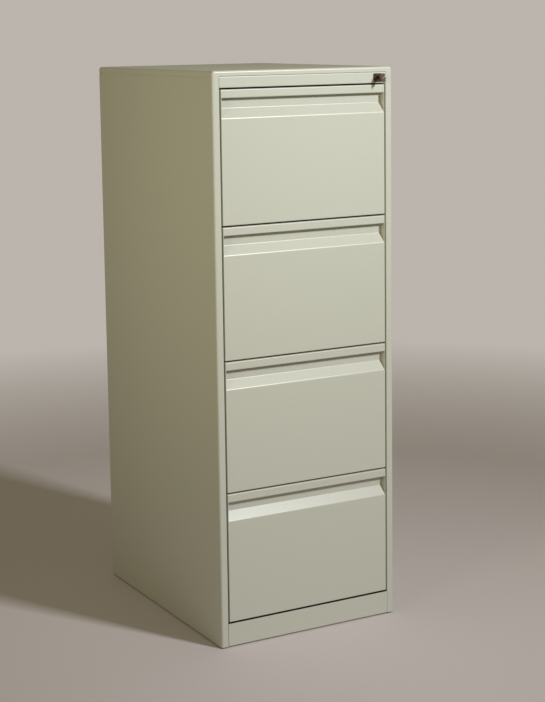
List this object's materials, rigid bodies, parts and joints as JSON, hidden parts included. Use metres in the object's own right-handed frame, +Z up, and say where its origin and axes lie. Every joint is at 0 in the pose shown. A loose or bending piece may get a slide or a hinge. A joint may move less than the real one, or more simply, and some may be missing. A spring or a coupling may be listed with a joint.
{
  "type": "filing cabinet",
  "caption": "Upright sheet-steel filing cabinet with flush lockable drawers, folded pull lips over sloping recesses, and ball slides behind.",
  "frame": {"origin": "middle of the box round the whole part, key included, at floor level", "axes": "+Z up; +Y from the drawer fronts towards the back; +X to the right seen from the front"},
  "size_m": [0.47, 0.656, 1.321],
  "materials": {
    "carcass_paint": "satin powder coat, pale grey-green",
    "front_paint": "satin powder coat, pale grey-green",
    "inner_paint": "satin powder coat, thinner inside",
    "galvanised_steel": "galvanised, dull",
    "zinc_plate": "bright zinc plate",
    "spring_steel": "dark spring steel",
    "bearing_steel": "polished",
    "nickel_plate": "nickel plate on die-cast zinc",
    "key_nickel": "worn nickel plate on brass",
    "nylon": "natural nylon",
    "black_plastic": "moulded, fine grain",
    "rubber_black": "matt"
  },
  "bodies": {
    "carcass": {"left_side_panel": "carcass_paint", "right_side_panel": "carcass_paint", "top_panel": "carcass_paint", "back_panel": "carcass_paint", "base_panel": "carcass_paint", "plinth": "carcass_paint", "lock_rail": "carcass_paint", "left_front_upright": "galvanised_steel", "left_rear_upright": "galvanised_steel", "right_front_upright": "galvanised_steel", "right_rear_upright": "galvanised_steel", "glide_feet": "black_plastic", "foot_nuts": "zinc_plate", "slide_rivets": "zinc_plate", "cabinet_slides_1": "zinc_plate", "cabinet_slides_2": "zinc_plate", "cabinet_slides_3": "zinc_plate", "cabinet_slides_4": "zinc_plate", "slide_buffers": "rubber_black", "lock_housing": "nickel_plate", "lock_clip": "spring_steel", "lock_bar_guides": "nylon"},
    "drawer_1": {"drawer_front_1": "front_paint", "drawer_inner_front_1": "inner_paint", "drawer_tray_1": "inner_paint", "drawer_lock_lug_1": "zinc_plate", "drawer_slides_1": "zinc_plate"},
    "middle_1": {"middle_slides_1": "zinc_plate"},
    "outer_cage_1": {"outer_ball_cages_1": "bearing_steel"},
    "inner_cage_1": {"inner_ball_cages_1": "bearing_steel"},
    "drawer_2": {"drawer_front_2": "front_paint", "drawer_inner_front_2": "inner_paint", "drawer_tray_2": "inner_paint", "drawer_lock_lug_2": "zinc_plate", "drawer_slides_2": "zinc_plate"},
    "middle_2": {"middle_slides_2": "zinc_plate"},
    "outer_cage_2": {"outer_ball_cages_2": "bearing_steel"},
    "inner_cage_2": {"inner_ball_cages_2": "bearing_steel"},
    "drawer_3": {"drawer_front_3": "front_paint", "drawer_inner_front_3": "inner_paint", "drawer_tray_3": "inner_paint", "drawer_lock_lug_3": "zinc_plate", "drawer_slides_3": "zinc_plate"},
    "middle_3": {"middle_slides_3": "zinc_plate"},
    "outer_cage_3": {"outer_ball_cages_3": "bearing_steel"},
    "inner_cage_3": {"inner_ball_cages_3": "bearing_steel"},
    "drawer_4": {"drawer_front_4": "front_paint", "drawer_inner_front_4": "inner_paint", "drawer_tray_4": "inner_paint", "drawer_lock_lug_4": "zinc_plate", "drawer_slides_4": "zinc_plate"},
    "middle_4": {"middle_slides_4": "zinc_plate"},
    "outer_cage_4": {"outer_ball_cages_4": "bearing_steel"},
    "inner_cage_4": {"inner_ball_cages_4": "bearing_steel"},
    "lock_barrel": {"lock_barrel": "nickel_plate", "lock_cam": "zinc_plate", "cam_screw": "zinc_plate"},
    "lock_bar": {"lock_bar": "zinc_plate", "lock_bar_tabs": "zinc_plate"},
    "key": {"key": "key_nickel"}
  },
  "joints": [
    {"name": "drawer_1_pull", "type": "slide", "parent": "carcass", "child": "drawer_1", "axis": [0, -1, 0], "range_m": [0, 0.52]},
    {"name": "middle_1_run", "type": "slide", "parent": "carcass", "child": "middle_1", "axis": [0, -1, 0], "range_m": [0, 0.26]},
    {"name": "outer_cage_1_run", "type": "slide", "parent": "carcass", "child": "outer_cage_1", "axis": [0, -1, 0], "range_m": [0, 0.13]},
    {"name": "inner_cage_1_run", "type": "slide", "parent": "carcass", "child": "inner_cage_1", "axis": [0, -1, 0], "range_m": [0, 0.39]},
    {"name": "drawer_2_pull", "type": "slide", "parent": "carcass", "child": "drawer_2", "axis": [0, -1, 0], "range_m": [0, 0.52]},
    {"name": "middle_2_run", "type": "slide", "parent": "carcass", "child": "middle_2", "axis": [0, -1, 0], "range_m": [0, 0.26]},
    {"name": "outer_cage_2_run", "type": "slide", "parent": "carcass", "child": "outer_cage_2", "axis": [0, -1, 0], "range_m": [0, 0.13]},
    {"name": "inner_cage_2_run", "type": "slide", "parent": "carcass", "child": "inner_cage_2", "axis": [0, -1, 0], "range_m": [0, 0.39]},
    {"name": "drawer_3_pull", "type": "slide", "parent": "carcass", "child": "drawer_3", "axis": [0, -1, 0], "range_m": [0, 0.52]},
    {"name": "middle_3_run", "type": "slide", "parent": "carcass", "child": "middle_3", "axis": [0, -1, 0], "range_m": [0, 0.26]},
    {"name": "outer_cage_3_run", "type": "slide", "parent": "carcass", "child": "outer_cage_3", "axis": [0, -1, 0], "range_m": [0, 0.13]},
    {"name": "inner_cage_3_run", "type": "slide", "parent": "carcass", "child": "inner_cage_3", "axis": [0, -1, 0], "range_m": [0, 0.39]},
    {"name": "drawer_4_pull", "type": "slide", "parent": "carcass", "child": "drawer_4", "axis": [0, -1, 0], "range_m": [0, 0.52]},
    {"name": "middle_4_run", "type": "slide", "parent": "carcass", "child": "middle_4", "axis": [0, -1, 0], "range_m": [0, 0.26]},
    {"name": "outer_cage_4_run", "type": "slide", "parent": "carcass", "child": "outer_cage_4", "axis": [0, -1, 0], "range_m": [0, 0.13]},
    {"name": "inner_cage_4_run", "type": "slide", "parent": "carcass", "child": "inner_cage_4", "axis": [0, -1, 0], "range_m": [0, 0.39]},
    {"name": "lock_turn", "type": "hinge", "parent": "carcass", "child": "lock_barrel", "pos_m": [0.194, -0.294, 1.29575], "axis": [0, -1, 0], "range_deg": [0, 90]},
    {"name": "lock_bar_lift", "type": "slide", "parent": "carcass", "child": "lock_bar", "axis": [0, 0, 1], "range_m": [0, 0.01]},
    {"name": "key_withdraw", "type": "slide", "parent": "lock_barrel", "child": "key", "axis": [0, -1, 0], "range_m": [0, 0.025]}
  ],
  "couplings": [
    {"joint": "middle_1_run", "follows": "drawer_1_pull", "ratio": 0.5},
    {"joint": "outer_cage_1_run", "follows": "drawer_1_pull", "ratio": 0.25},
    {"joint": "inner_cage_1_run", "follows": "drawer_1_pull", "ratio": 0.75},
    {"joint": "middle_2_run", "follows": "drawer_2_pull", "ratio": 0.5},
    {"joint": "outer_cage_2_run", "follows": "drawer_2_pull", "ratio": 0.25},
    {"joint": "inner_cage_2_run", "follows": "drawer_2_pull", "ratio": 0.75},
    {"joint": "middle_3_run", "follows": "drawer_3_pull", "ratio": 0.5},
    {"joint": "outer_cage_3_run", "follows": "drawer_3_pull", "ratio": 0.25},
    {"joint": "inner_cage_3_run", "follows": "drawer_3_pull", "ratio": 0.75},
    {"joint": "middle_4_run", "follows": "drawer_4_pull", "ratio": 0.5},
    {"joint": "outer_cage_4_run", "follows": "drawer_4_pull", "ratio": 0.25},
    {"joint": "inner_cage_4_run", "follows": "drawer_4_pull", "ratio": 0.75},
    {"joint": "lock_turn", "follows": "lock_bar_lift", "rad_per_m": 157.08}
  ]
}
